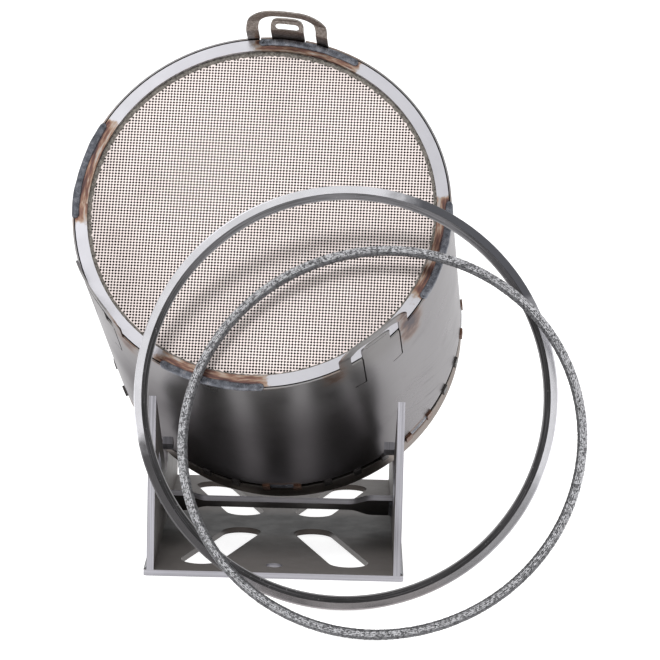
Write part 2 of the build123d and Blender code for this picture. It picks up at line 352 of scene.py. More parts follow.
# At the shell's rear edge: tint of the welds, and a bright line along it.
shell_inner, _, shell_back, _ = extent(drum, "outer_shell")
REAR_TINT = (shell_back + 1.0, shell_back + 8.0)
EDGE_LINE_FROM = (shell_back - 0.6, shell_back - 0.2)
EDGE_LINE_TO = (shell_back - 0.3, shell_back + 1.4)
# Radii of the shell's inside, the rim's outer wall and the rear band's outside.
rim_outer = drum.outer / MM
_, band_outer, _, _ = extent(drum, "rear_ring")
SHELL_INSIDE = (shell_inner + 0.1, shell_inner + 0.4)
RIM_WALL = (rim_outer - 0.3, rim_outer - 0.1)
BAND_OUTSIDE = (band_outer - 1.5, band_outer - 0.2)
# Heights of the rear groove's back end, and of the weld tint on the band behind it.
_, _, groove_back, _ = extent(drum, "rear_teeth")
GROOVE_BACK = (groove_back - 1.5, groove_back - 0.2)
BAND_TINT = (groove_back - 7.0, groove_back)
# Radius of the inner edge of the seal ring's facing.
facing_inner, _, _, _ = extent(seal, "seal_ring_facing")
FACING_EDGE = (facing_inner + 0.3, facing_inner + 0.9)


def plate_steel(name, normal, painted_base_half_sizes=None, edge_tones=EDGE_TONES, painted_shade=0.0):
    """Satin plate with warm grey-brown faces and brighter cut edges with lengthwise lines.

    Given the half sizes of the base plate, the cut-outs' walls within it get painted shade, the
    face gets painted shadow under the brace and painted light along its front. The last argument
    is the share of a nearly black tone, painted shade, that lies over the faces.
    """
    s = Shader(name)
    clouds = s.noise(0.010, detail=3)
    mottle = s.noise(0.06, detail=4, roughness=0.6)
    face = s.mix(clouds, (0.085, 0.076, 0.071), (0.135, 0.122, 0.115))
    face = s.mix(s.times(s.step(mottle, 0.45, 0.75), 0.35), face, (0.165, 0.152, 0.145))
    rolled = s.noise(1.0, s.stretched(0.5, 0.02, 0.5), detail=2)
    face = s.mix(s.times(s.step(rolled, 0.4, 0.8), 0.18), face, (0.17, 0.158, 0.150))
    patches = s.step(s.noise(0.013, detail=2), 0.50, 0.62)
    scuff = s.step(s.noise(1.0, s.stretched(0.55, 0.12, 0.55), detail=4, roughness=0.75), 0.63, 0.70)
    face = s.mix(s.times(s.times(scuff, patches), 0.45), face, (0.42, 0.41, 0.40))
    # Painted shade: a share of a nearly black tone over the faces, given for the brace.
    face = s.mix(painted_shade, face, (0.014, 0.012, 0.012))
    depth = s.vector("DOT_PRODUCT", s.place, normal)
    slow = s.vector("SCALE", s.place, scale=0.010)
    layers = s.combine(s.times(depth, 1.3), 0.0, 0.0)
    lines = s.noise(1.0, s.vector("ADD", slow, layers), detail=2)
    edge = s.mix(s.step(lines, 0.3, 0.7), *edge_tones)
    flat = s.step(s.along(normal), 0.55, 0.8)
    if painted_base_half_sizes is not None:
        half_width, half_length = (float(size) for size in painted_base_half_sizes)
        _, forward, _ = s.parts(s.place)
        across, along, _ = s.parts(s.vector("ABSOLUTE", s.place))
        # The cut-outs' walls get painted shade, nearly black.
        beside = s.fall(across, half_width - 1, half_width)
        within = s.times(beside, s.fall(along, half_length - 1, half_length))
        # The wall of the round hole near the front is kept out of the painted shade.
        at_hole = s.times(s.fall(across, *HOLE_HALF_WIDTH), s.fall(forward, *HOLE_BACK))
        within = s.times(within, s.math("SUBTRACT", 1.0, at_hole))
        edge = s.mix(within, edge, (0.060, 0.052, 0.048))
        # Painted shadow darkens the plate under the brace, and painted light makes it palest along its
        # front.
        face = s.mix(s.step(forward, *FRONT_PAINTED_LIGHT, 0.85, 0.0), face, (0.215, 0.198, 0.190))
        shaded = s.times(s.step(forward, *SHADE_RISE), s.fall(forward, *SHADE_FALL))
        face = s.mix(s.times(shaded, 0.95), face, (0.010, 0.009, 0.009))
    s.set(Metallic=s.math("SUBTRACT", 1.0, s.times(flat, 0.72)))
    s.set(Base_Color=s.mix(flat, edge, face))
    rough = s.step(mottle, 0.3, 0.75, 0.48, 0.58)
    s.set(Roughness=s.mix(flat, (0.36, 0.36, 0.36), s.combine(rough, rough, rough)))
    s.bump(lines, 0.03, 0.4)
    return s.material


# Heat tints of the sheet, from faint to strong.
HEAT = (
    (0.0, (0.30, 0.285, 0.28)),
    (0.25, (0.27, 0.215, 0.185)),
    (0.45, (0.185, 0.130, 0.108)),
    (0.70, (0.105, 0.078, 0.074)),
    (1.0, (0.075, 0.076, 0.090)),
)


def shell_steel():
    """Satin rolled sheet: fine lines round the drum, smudges, scratches and heat tint."""
    s = Shader("shell_steel")
    angle, radius, depth = s.polar(drum)
    around = s.times(angle, 0.04)
    grain = s.noise(1.0, s.combine(s.times(depth, 1.1), around, 0.0), detail=2)
    clouds = s.noise(0.012, detail=3)
    colour = s.mix(clouds, (0.215, 0.208, 0.210), (0.315, 0.308, 0.312))
    colour = s.mix(s.times(s.step(grain, 0.3, 0.8), 0.18), colour, (0.38, 0.372, 0.375))
    smudge = s.step(s.noise(0.035, detail=4, roughness=0.6), 0.55, 0.72)
    colour = s.mix(s.times(smudge, 0.30), colour, (0.165, 0.155, 0.155))
    # Painted shade: the side of the drum that faces down is darker towards the rear.
    under = s.times(s.near_angle(angle, *PAINTED_SHADE_UNDERSIDE), s.fall(depth, -140.0, 10.0))
    colour = s.mix(s.times(under, 0.85), colour, (0.085, 0.077, 0.081))
    # The lower lifting tabs are a little greyer than the flank.
    for centre in (LEFT_TAB, RIGHT_TAB):
        here = s.near_angle(angle, centre, 12.0, 1.0)
        lower = s.times(here, s.step(depth, -40.0, -4.0, 0.0, 0.55))
        colour = s.mix(lower, colour, (0.205, 0.198, 0.190))
    # Heat tint beside the tabs, below the beads and at the rear welds.
    edge_noise = s.math("SUBTRACT", s.noise(0.10, detail=4), 0.5)
    ragged = s.math("ADD", angle, s.times(edge_noise, 5.0))
    sagged = s.math("ADD", depth, s.times(edge_noise, 10.0))
    stain = s.step(s.noise(0.085, detail=5, roughness=0.6), 0.30, 0.70, 0.45, 1.0)
    spots = []
    for centre, half, top, reach, strength in TINTS:
        near = s.near_angle(ragged, centre, half * 0.1, half * 2.2)
        fading = s.step(sagged, top - reach, top - 0.3 * reach, 0.0, strength)
        spots.append(s.times(near, fading))
    for centre in REAR_WELDS:
        near = s.near_angle(angle, centre, 3.2, 4.2)
        fading = s.times(s.fall(depth, *REAR_TINT), 0.8)
        spots.append(s.times(near, fading))
    heat = s.times(s.most(spots), stain)
    colour = s.mix(s.step(heat, 0.0, 0.45), colour, s.ramp(heat, *HEAT))
    end_line = s.times(s.fall(depth, *EDGE_LINE_TO), s.step(depth, *EDGE_LINE_FROM))
    colour = s.mix(s.times(end_line, 0.5), colour, (0.62, 0.60, 0.60))
    # A field of fine slanting scratches on the right flank.
    slant = s.math("ADD", depth, s.times(angle, 2.4))
    across, along = s.times(slant, 0.8), s.times(angle, 0.05)
    scratch = s.step(s.noise(1.0, s.combine(across, along, 3.0), detail=0), 0.70, 0.74)
    region = s.times(s.near_angle(angle, *SCRATCHED), s.fall(depth, -190.0, -60.0))
    colour = s.mix(s.times(s.times(scratch, region), 0.6), colour, (0.10, 0.097, 0.095))
    # The top tab is warm and speckled in front of the rim. Behind the front, the shell's inside, in
    # the gap to the rim, is painted shade, nearly black.
    speckle = s.noise(0.55, detail=3)
    tab_colour = s.mix(s.step(speckle, 0.35, 0.65), (0.21, 0.185, 0.165), (0.36, 0.33, 0.305))
    upper = s.near_angle(angle, TOP_TAB, 20.0, 5.0)
    colour = s.mix(s.times(s.step(depth, 0.5, 6.0), upper), colour, tab_colour)
    inside = s.times(s.fall(radius, *SHELL_INSIDE), s.fall(depth, -0.6, -0.2))
    colour = s.mix(inside, colour, PAINTED_SHADE_BLACK)
    s.set(Base_Color=colour)
    rough = s.step(clouds, 0.3, 0.7, 0.26, 0.33)
    rough = s.math("ADD", rough, s.times(under, 0.10))
    s.set(Roughness=s.math("ADD", rough, s.times(heat, 0.12)))
    s.set(Specular_Tint=(0.62, 0.61, 0.62))
    return s.material


def gap_steel():
    """The rear ring: warm grey band, and painted shade, nearly black, on the floor of its groove."""
    s = Shader("gap_steel")
    angle, radius, depth = s.polar(drum)
    clouds = s.noise(0.03, detail=4)
    colour = s.mix(clouds, (0.34, 0.308, 0.29), (0.46, 0.425, 0.405))
    grain = s.noise(1.0, s.combine(s.times(depth, 1.3), s.times(angle, 0.05), 0.0), detail=2)
    colour = s.mix(s.times(grain, 0.25), colour, (0.48, 0.46, 0.45))
    heat = s.most([s.near_angle(angle, centre, 4.0, 3.0) for centre in REAR_WELDS])
    close = s.step(depth, *BAND_TINT)
    colour = s.mix(s.times(s.times(heat, close), 0.9), colour, (0.10, 0.055, 0.038))
    # Painted shade, nearly black, on the floor of the groove.
    painted_shade = s.times(s.fall(radius, *BAND_OUTSIDE), s.step(depth, *GROOVE_BACK))
    colour = s.mix(s.times(painted_shade, 0.94), colour, (0.018, 0.014, 0.012))
    s.set(Base_Color=colour)
    s.set(Roughness=s.step(clouds, 0.3, 0.7, 0.34, 0.46))
    s.set(Specular_Tint=(0.35, 0.32, 0.30))
    s.bump(grain, 0.01, 0.4)
    return s.material


def tooth_steel():
    """Dark oxidised spacer teeth, brown beside the rear welds."""
    s = Shader("tooth_steel", metallic=0.9)
    angle, _, _ = s.polar(drum)
    mottle = s.noise(0.25, detail=4)
    colour = s.mix(mottle, (0.035, 0.032, 0.032), (0.10, 0.092, 0.090))
    heat = s.most([s.near_angle(angle, centre, 6.5, 1.5) for centre in REAR_WELDS])
    brown = s.mix(mottle, (0.075, 0.036, 0.024), (0.22, 0.125, 0.085))
    s.set(Base_Color=s.mix(heat, colour, brown))
    s.set(Roughness=s.step(mottle, 0.3, 0.7, 0.36, 0.52))
    s.bump(mottle, 0.06, 0.6)
    return s.material


def rim_steel():
    """Bright ring: pale, faintly clouded, with heat tint next to the beads."""
    s = Shader("rim_steel")
    angle, radius, depth = s.polar(drum)
    lines = s.noise(1.0, s.combine(s.times(radius, 1.1), s.times(angle, 0.10), 0.0), detail=2)
    clouds = s.noise(0.035, detail=3)
    colour = s.mix(clouds, (0.50, 0.495, 0.53), (0.66, 0.655, 0.69))
    ragged = s.math("ADD", angle, s.times(s.math("SUBTRACT", s.noise(0.11, detail=3), 0.5), 9.0))
    heat = s.most([s.near_angle(ragged, centre, half - 2.0, 5.0) for centre, half in BEAD_SPANS])
    patch = s.noise(1.0, s.combine(s.times(angle, 0.17), s.times(radius, 0.42), 7.0), detail=4)
    to_bead = s.step(radius, 146.0, 153.0, 0.0, 0.45)
    strength = s.times(heat, s.math("ADD", s.step(patch, 0.32, 0.68, 0.05, 0.65), to_bead))
    tint = s.ramp(
        strength,
        (0.0, (0.46, 0.44, 0.44)),
        (0.20, (0.40, 0.305, 0.245)),
        (0.40, (0.275, 0.165, 0.120)),
        (0.58, (0.180, 0.098, 0.082)),
        (0.78, (0.115, 0.070, 0.066)),
        (1.0, (0.065, 0.055, 0.062)),
    )
    colour = s.mix(s.step(heat, 0.0, 0.3), colour, tint)
    # Painted shade: the rim's outer wall, in the gap to the shell, is nearly black.
    outside = s.times(s.step(radius, *RIM_WALL), s.fall(depth, -0.5, -0.1))
    colour = s.mix(outside, colour, PAINTED_SHADE_BLACK)
    s.set(Base_Color=colour)
    s.set(Roughness=s.step(clouds, 0.3, 0.7, 0.28, 0.40))
    s.bump(lines, 0.010, 0.4)
    return s.material


def bead_steel():
    """Dark oxidised weld metal with brighter specks and brown patches."""
    s = Shader("bead_steel", metallic=0.9)
    patch = s.noise(0.22, detail=5, roughness=0.6)
    fine = s.noise(1.4, detail=4, roughness=0.6)
    colour = s.ramp(
        patch,
        (0.30, (0.06, 0.062, 0.072)),
        (0.52, (0.135, 0.142, 0.165)),
        (0.66, (0.22, 0.225, 0.25)),
        (0.80, (0.16, 0.10, 0.075)),
    )
    colour = s.mix(s.step(fine, 0.62, 0.78), colour, (0.42, 0.42, 0.45))
    s.set(Base_Color=colour)
    s.set(Roughness=s.step(fine, 0.3, 0.7, 0.24, 0.46))
    s.bump(fine, 0.10, 0.6)
    return s.material


def ceramic():
    """Matte cream ceramic with faint larger blotches."""
    s = Shader("ceramic", metallic=0.0, roughness=0.9)
    blotch = s.noise(0.011, detail=5, roughness=0.6)
    grain = s.noise(1.1, detail=3)
    colour = s.mix(s.step(blotch, 0.48, 0.78), (0.73, 0.645, 0.62), (0.58, 0.505, 0.485))
    colour = s.mix(s.times(grain, 0.25), colour, (0.76, 0.69, 0.665))
    s.set(Base_Color=colour)
    s.bump(grain, 0.05, 0.5)
    return s.material


def ceramic_channel_shade():
    """Painted shade, nearly black, on the walls of the open channels."""
    s = Shader("ceramic_channel_shade", metallic=0.0, roughness=0.95)
    painted_shade = s.noise(0.05, detail=4)
    s.set(Base_Color=s.mix(painted_shade, (0.008, 0.006, 0.005), (0.024, 0.017, 0.015)))
    s.bump(s.noise(2.0), 0.05, 0.4)
    return s.material


def fibre_mat():
    """Grey-brown ceramic fibre."""
    s = Shader("fibre_mat", metallic=0.0, roughness=1.0)
    clumps = s.noise(0.45, detail=6, roughness=0.75)
    fibres = s.noise(2.2, detail=4, roughness=0.8, distortion=1.5)
    colour = s.mix(s.step(clumps, 0.35, 0.65), (0.07, 0.062, 0.055), (0.23, 0.212, 0.19))
    colour = s.mix(s.step(fibres, 0.55, 0.75), colour, (0.42, 0.40, 0.37))
    s.set(Base_Color=colour)
    s.bump(fibres, 0.4, 0.9)
    return s.material


# Middle angle, half width, softness, strength and tone of each stretch of painted reflection round the
# seal ring, dark and light.
PAINTED_REFLECTIONS = (
    (50.0, 19.0, 12.0, 0.92, (0.050, 0.052, 0.062)),
    (-88.0, 22.0, 22.0, 0.90, (0.235, 0.215, 0.215)),
    (-143.0, 20.0, 9.0, 0.93, (0.040, 0.037, 0.038)),
    (-44.0, 10.0, 12.0, 0.70, (0.150, 0.145, 0.148)),
    (-27.0, 2.0, 6.0, 0.45, (0.22, 0.22, 0.23)),
)


def seal_steel():
    """Polished band with fine turned lines."""
    s = Shader("seal_steel")
    angle, radius, depth = s.polar(seal)
    turned = s.combine(s.times(radius, 2.2), s.times(depth, 2.2), s.times(angle, 0.02))
    lines = s.noise(1.0, turned, detail=3)
    clouds = s.noise(0.03, detail=5)
    colour = s.mix(clouds, (0.70, 0.695, 0.73), (0.86, 0.855, 0.89))
    nicks = s.step(s.noise(0.4, detail=6, roughness=0.75), 0.70, 0.76)
    colour = s.mix(s.times(nicks, 0.4), colour, (0.35, 0.345, 0.36))
    # Painted reflections, dark and light, that come and go round the band.
    ragged = s.math("ADD", angle, s.times(s.math("SUBTRACT", s.noise(0.05, detail=4), 0.5), 14.0))
    for centre, half, soft, strength, tone in PAINTED_REFLECTIONS:
        here = s.times(s.near_angle(ragged, centre, half, soft), strength)
        colour = s.mix(here, colour, tone)
    s.set(Base_Color=colour)
    s.set(Roughness=s.step(clouds, 0.3, 0.7, 0.14, 0.26))
    s.bump(lines, 0.012, 0.5)
    return s.material


def facing():
    """Graphite facing: dark, with concentric lines, paler at the top and at its inner edge."""
    s = Shader("facing", metallic=0.0)
    s.set(Specular_IOR_Level=0.25)
    angle, radius, _ = s.polar(seal)
    turned = s.combine(s.times(radius, 1.8), s.times(angle, 0.05), 1.0)
    lines = s.noise(1.0, turned, detail=3, roughness=0.7)
    chips = s.noise(0.5, detail=5, roughness=0.7)
    colour = s.mix(s.step(lines, 0.42, 0.66), (0.006, 0.006, 0.006), (0.055, 0.052, 0.056))
    paler_top = s.times(s.near_angle(angle, 95.0, 30.0, 40.0), s.step(lines, 0.30, 0.60, 0.15, 0.80))
    colour = s.mix(paler_top, colour, (0.150, 0.146, 0.155))
    inner_edge = s.fall(radius, *FACING_EDGE)
    colour = s.mix(s.times(inner_edge, 0.8), colour, (0.22, 0.215, 0.22))
    colour = s.mix(s.step(chips, 0.62, 0.72), colour, (0.20, 0.198, 0.205))
    s.set(Base_Color=colour)
    s.set(Roughness=s.step(chips, 0.3, 0.7, 0.38, 0.6))
    s.bump(lines, 0.12, 0.8)
    s.bump(chips, 0.08, 0.5)
    return s.material


def side_shade(s):
    """1 on the gasket's inner side and on the outer side of its lower arc, which get painted shade."""
    angle, radius, _ = s.polar(gasket)
    middle = gasket_radius / MM
    inner = s.fall(radius, middle - 2.6, middle - 1.2)
    outer = s.step(radius, middle + 1.6, middle + 3.2)
    lower = s.near_angle(angle, -90.0, 50.0, 30.0)
    return s.math("MAXIMUM", inner, s.times(outer, lower))


def wire_steel():
    """Bright knitted wire, flattened and dirty in places."""
    s = Shader("wire_steel")
    patch = s.noise(0.35, detail=4)
    colour = s.mix(patch, (0.56, 0.56, 0.58), (0.86, 0.86, 0.89))
    dirt = s.step(s.noise(0.42, detail=4, roughness=0.7), 0.48, 0.57)
    colour = s.mix(s.times(dirt, 0.80), colour, (0.095, 0.095, 0.10))
    # Painted shade on the gasket's inner side and lower outer side.
    colour = s.mix(s.times(side_shade(s), 0.82), colour, (0.085, 0.085, 0.09))
    s.set(Base_Color=colour)
    s.set(Roughness=s.step(patch, 0.3, 0.7, 0.30, 0.45))
    return s.material


def wire_core_steel():
    """Compressed layers of knit below the outer one."""
    s = Shader("wire_core_steel", metallic=0.9)
    squash = s.noise(0.7, detail=4, roughness=0.65, distortion=1.5)
    colour = s.mix(s.step(squash, 0.46, 0.60), (0.030, 0.030, 0.033), (0.38, 0.38, 0.40))
    # Painted shade on the gasket's inner side and lower outer side.
    colour = s.mix(s.times(side_shade(s), 0.85), colour, (0.03, 0.03, 0.032))
    s.set(Base_Color=colour)
    s.set(Roughness=s.step(squash, 0.3, 0.7, 0.5, 0.35))
    s.bump(squash, 0.35, 0.9)
    return s.material


# ---------------------------------------------------------------- places of the beads and tints
BEADS = ("bottom", "right", "top", "left")
# Middle angle and half angle of each bead on the rim.
BEAD_SPANS = []
for bead in BEADS:
    middle, half, *_ = drum.span("front_weld_" + bead)
    BEAD_SPANS.append((math.degrees(middle), math.degrees(half)))

# Angle, half width, front edge, reach and strength of each tinted patch on the shell.
TINTS = [
    (RIGHT_TAB - 14.5, 3.0, 2.0, 42.0, 0.55),
    (RIGHT_TAB + 14.0, 3.4, 2.0, 58.0, 0.95),
    (LEFT_TAB + 14.5, 3.4, 2.0, 40.0, 0.6),
]
for centre, half in BEAD_SPANS:
    TINTS.append((centre, half, 1.0, 8.0, 0.5))

# ---------------------------------------------------------------- carried-over CAD nodes
shell_material = shell_steel()
ring_material = rim_steel()
bead_material = bead_steel()
# The brace has the canister's slope, and runs straight across.
brace_normal = (0.0, float(drum.front[2]), math.hypot(drum.front[0], drum.front[1]))
base_inside = np.abs(points_of("base_plate")).max(0)[:2] / MM - 2
looks = {
    "base_plate": plate_steel("plate_level", (0, 0, 1), base_inside),
    "left_cheek": plate_steel("plate_upright", (1, 0, 0)),
    # The brace's faces get painted shade and its edges painted light.
    "cross_brace": plate_steel("plate_sloped", brace_normal, edge_tones=PAINTED_LIGHT_EDGE_TONES, painted_shade=0.75),
    "stand_welds": bead_material,
    "outer_shell": shell_material,
    "shell_seam_weld": bead_material,
    "inner_can": shell_material,
    "front_ring": ring_material,
    "rear_ring": gap_steel(),
    "rear_teeth": tooth_steel(),
    "rear_welds": bead_material,
    "seal_ring": seal_steel(),
    "seal_ring_facing": facing(),
}
looks["right_cheek"] = looks["left_cheek"]
looks["left_rest_pad"] = looks["right_rest_pad"] = looks["left_cheek"]
for node, material in looks.items():
    slots = nodes[node].data.materials
    slots.clear()
    slots.append(material)


# ---------------------------------------------------------------- ceramic honeycomb
def honeycomb(name, front_face):
    """Half of the ceramic block, its face pierced by square channels that stand on a corner."""
    core = Disc("honeycomb_core", drum)
    pitch = 2.54 * MM
    half_diagonal = 1.16 * MM
    depth = 7 * MM
    skin = 0.35 * MM
    radius = core.outer
    count = int(radius / pitch) + 1
    index = np.arange(-count, count + 1)
    gx, gy = np.meshgrid(index, index, indexing="ij")
    centres = np.stack((gx.ravel(), gy.ravel()), -1) * pitch
    corner_reach = np.hypot(np.abs(centres[:, 0]) + pitch / 2, np.abs(centres[:, 1]) + pitch / 2)
    whole = corner_reach < radius - skin
    pierced = np.maximum(
        np.hypot(np.abs(centres[:, 0]) + half_diagonal, centres[:, 1]),
        np.hypot(centres[:, 0], np.abs(centres[:, 1]) + half_diagonal),
    ) < radius - skin
    diamond = np.array(((1, 0), (0, 1), (-1, 0), (0, -1))) * half_diagonal
    square = np.array(((1, 1), (-1, 1), (-1, -1), (1, -1))) * pitch / 2
    rim_count = 360
    # The mesh, with 1 in dark for each face of a channel, which takes the channels' painted shade.
    points, faces, dark = [], [], []
    corner_index = {}
    # The strip along the skin, to be triangulated: its vertices, their points, edges and channels.
    flat, owner, edges, rim_holes = [], [], [], []
    flat_index = {}

    def add_points(plane, rise):
        start = len(points)
        points.extend((x, y, rise) for x, y in plane)
        return start

    def corner(x, y):
        """The point at a corner that neighbouring cells share."""
        key = (round(x / pitch * 2), round(y / pitch * 2))
        if key not in corner_index:
            corner_index[key] = add_points([(x, y)], 0.0)
        return corner_index[key]

    def flat_vertex(index_of_point):
        """The strip's vertex for a point of the mesh."""
        if index_of_point not in flat_index:
            flat_index[index_of_point] = len(flat)
            flat.append(Vector(points[index_of_point][:2]))
            owner.append(index_of_point)
        return flat_index[index_of_point]

    for (x, y), is_whole, is_pierced in zip(centres, whole, pierced):
        if not is_pierced:
            continue
        top = add_points(diamond + (x, y), 0.0)
        bottom = add_points(diamond * 0.96 + (x, y), -depth)
        for k in range(4):
            n = (k + 1) % 4
            faces.append((top + k, top + n, bottom + n, bottom + k))
            dark.append(1)
        faces.append((bottom, bottom + 1, bottom + 2, bottom + 3))
        dark.append(1)
        if is_whole:
            c = [corner(*(q + (x, y))) for q in square]
            for k in range(4):
                n = (k + 1) % 4
                faces.append((top + k, c[k], top + n))
                faces.append((top + n, c[k], c[n]))
                dark.extend((0, 0))
        else:
            rim_holes.append(top)
    # The strip between the whole cells and the skin, with its own channels left open.
    whole_keys = {(round(x / pitch), round(y / pitch)) for (x, y), w in zip(centres, whole) if w}
    for i, j in whole_keys:
        for k, (di, dj) in enumerate(((0, 1), (-1, 0), (0, -1), (1, 0))):
            if (i + di, j + dj) not in whole_keys:
                a = square[k] + np.array((i, j)) * pitch
                b = square[(k + 1) % 4] + np.array((i, j)) * pitch
                edges.append((flat_vertex(corner(*a)), flat_vertex(corner(*b))))
    for top in rim_holes:
        ring = [flat_vertex(top + k) for k in range(4)]
        edges.extend((ring[k], ring[(k + 1) % 4]) for k in range(4))
    turn = np.linspace(0, 2 * math.pi, rim_count, endpoint=False)
    circle = np.stack((np.cos(turn), np.sin(turn)), -1) * radius
    rim_start = add_points(circle, 0.0)
    ring = [flat_vertex(rim_start + k) for k in range(rim_count)]
    edges.extend((ring[k], ring[(k + 1) % rim_count]) for k in range(rim_count))
    made_points, _, made_faces, origins, *_ = delaunay_2d_cdt(flat, edges, [], 1, 1e-7)
    hole_keys = {tuple(np.round(np.array(points[t][:2]) - diamond[0], 7)) for t in rim_holes}
    hole_centres = np.array(sorted(hole_keys))
    for face in made_faces:
        middle = sum((made_points[v] for v in face), Vector((0, 0))) / len(face)
        key = (round(middle.x / pitch), round(middle.y / pitch))
        if key in whole_keys:
            continue
        away = np.abs(hole_centres - np.array(middle)).sum(1).min()
        if away < half_diagonal * 0.999:
            continue
        faces.append(tuple(owner[origins[v][0]] for v in face))
        dark.append(0)
    # The side of the block, and its cap at mid-length.
    mid = add_points(circle, -core.depth / 2)
    for k in range(rim_count):
        n = (k + 1) % rim_count
        faces.append((rim_start + k, rim_start + n, mid + n, mid + k))
        dark.append(0)
    faces.append(tuple(range(mid + rim_count - 1, mid - 1, -1)))
    dark.append(0)
    local = np.array(points)
    if not front_face:
        local = local * (-1, 1, -1) - (0, 0, core.depth)
    in_frame = core.to_frame(local)
    piece = make_piece(name, in_frame, faces, ceramic_material, "canister", smooth=False)
    piece.data.materials.append(channel_shade_material)
    piece.data.polygons.foreach_set("material_index", dark)
    return piece


ceramic_material = ceramic()
channel_shade_material = ceramic_channel_shade()
front_half = honeycomb("honeycomb_front", True)
honeycomb("honeycomb_rear", False)
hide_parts("honeycomb_core")


# ---------------------------------------------------------------- fibre mat
def fibre_ring():
    """The mat round the block, with ragged ends that lap over the edge of the block's faces."""
    mat = Disc("support_mat", drum)
    core = Disc("honeycomb_core", drum)
    proud = drum.to_local(core.centre[None])[0, 2] - drum.to_local(mat.centre[None])[0, 2]
    around = 1500
    # The back end is as ragged as the front one, turned by some of these steps.
    back_turned = 300
    turn = np.linspace(0, 2 * math.pi, around, endpoint=False)[:, None]
    # How far the mat laps over the block, and how far its inner wall stays off the block.
    lip = 1.4 * MM
    wall_gap = 0.05 * MM
    # Across one end: share of the way out from the lip, and height over the block's face.
    share = np.array((0.0, 0.06, 0.16, 0.30, 0.45, 0.60, 0.75, 0.88, 1.0))[None, :]
    crown = np.array((0.15, 0.9, 1.5, 1.9, 2.0, 1.9, 1.7, 1.4, 0.9))[None, :]
    inner_edge = core.outer - lip + 0.35 * MM * wave_noise(4, turn * mat.outer / MM * 0.5, waves=16)
    radius = inner_edge + (mat.outer - inner_edge) * share
    ragged = wave_noise(5, turn * mat.outer / MM * 0.45, radius / MM * 0.9, waves=24, low=0.4, high=3.2)
    clumps = wave_noise(6, turn * mat.outer / MM * 0.12, radius / MM * 0.3, waves=10)
    front = proud + (crown + 0.22 * ragged * crown + 0.2 * clumps) * MM
    front = np.maximum(front, proud + 0.08 * MM)
    wall = np.full_like(turn, core.outer + wall_gap)
    wall_front = np.full_like(turn, proud - 0.3 * MM)
    back = -mat.depth - proud - (crown + 0.22 * np.roll(ragged, back_turned, 0) * crown) * MM
    rows = np.concatenate((wall_front, front, back[:, ::-1], -mat.depth - wall_front), 1)
    radii = np.concatenate((wall, radius, radius[:, ::-1], wall), 1)
    points = mat.polar(np.broadcast_to(turn, rows.shape), radii, rows)
    faces = grid_faces(around, rows.shape[1], wrap_rows=True, wrap_columns=True)
    piece = make_piece(
        "fibre_mat_ring", points, faces[:, ::-1], fibre_mat(), "canister", smooth=False
    )
    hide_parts("support_mat")


fibre_ring()


# ---------------------------------------------------------------- weld beads on the rim
def rim_bead(side, seed, direction):
    """Rippled bead along the rim, with rounded ends and a crater where it stopped.

    The direction is 1 or -1: which way round the rim the bead was laid.
    """
    node = "front_weld_" + side
    middle, half, inner, outer, low, high = drum.span(node)
    radius = (inner + outer) / 2
    width = (outer - inner) / 2
    height = high - low
    length = 2 * half * radius
    steps, across = 420, 22
    ripple_pitch = 1.75 * MM
    crater_size = 1.5 * MM
    crater_from_end = 2.6 * MM
    # The outer toe starts at this share of the half width and drops this far.
    toe_start = 0.86
    toe_depth = 1.1 * MM
    # How far the underside lies below the rim's face.
    sunk = 0.4 * MM
    along = np.linspace(0, length, steps)[:, None]
    q = np.linspace(-1, 1, across)[None, :]
    end = np.minimum(along, length - along)
    round_off = np.sqrt(np.clip(1 - (1 - np.clip(end / (width * 1.1), 0, 1)) ** 2, 0, 1))
    wobble = wave_noise(seed, along / MM * 0.16, waves=9)
    wander = wave_noise(seed + 1, along / MM * 0.07, waves=6)
    half_width = width * (round_off * (0.97 + 0.05 * wobble) + 0.004)
    sway = wander * 0.15 * MM
    ripple = (along + direction * 0.9 * width * (1 - q**2)) / ripple_pitch + 0.25 * wobble
    crest = 1 - np.abs(2 * (ripple % 1) - 1)
    lift = height * round_off**0.7 * (0.9 + 0.06 * wobble)
    arch = (1 - np.abs(q) ** 2.3) ** 0.62
    rise = lift * arch * (0.86 + 0.13 * crest)
    crater_at = length - crater_from_end if direction > 0 else crater_from_end
    crater = np.exp(-(((along - crater_at) / crater_size) ** 2) - ((q * width) / crater_size) ** 2)
    rise = rise - 0.55 * height * crater
    toe_drop = np.where(q > toe_start, toe_depth * (q - toe_start) / (1 - toe_start), 0.0) * round_off
    rise = rise - toe_drop + low
    bead_radius = radius + q * half_width + sway
    angle = middle - half + along / radius
    top = drum.polar(np.broadcast_to(angle, rise.shape), bead_radius, rise)
    under = drum.polar(
        np.broadcast_to(angle, rise.shape),
        (radius + q * half_width * 0.96 + sway)[:, ::-1],
        np.full_like(rise, low - sunk) - toe_drop[:, ::-1],
    )
    points = np.concatenate((top.reshape(steps, across, 3), under.reshape(steps, across, 3)), 1)
    faces = grid_faces(steps, 2 * across, wrap_columns=True).tolist()
    faces.append(list(range(2 * across)))
    faces.append([(steps - 1) * 2 * across + k for k in range(2 * across)][::-1])
    piece = make_piece(
        "rim_bead_" + side, points.reshape(-1, 3), faces, bead_material, "canister"
    )
    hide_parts(node)


for number, (side, direction) in enumerate(zip(BEADS, (1, -1, 1, -1))):
    rim_bead(side, 20 + 5 * number, direction)


# ---------------------------------------------------------------- knitted wire gasket
# Corner radius of the ring's section.
SECTION_CORNER = 2.2 * MM
gasket_width = gasket.outer - gasket.inner


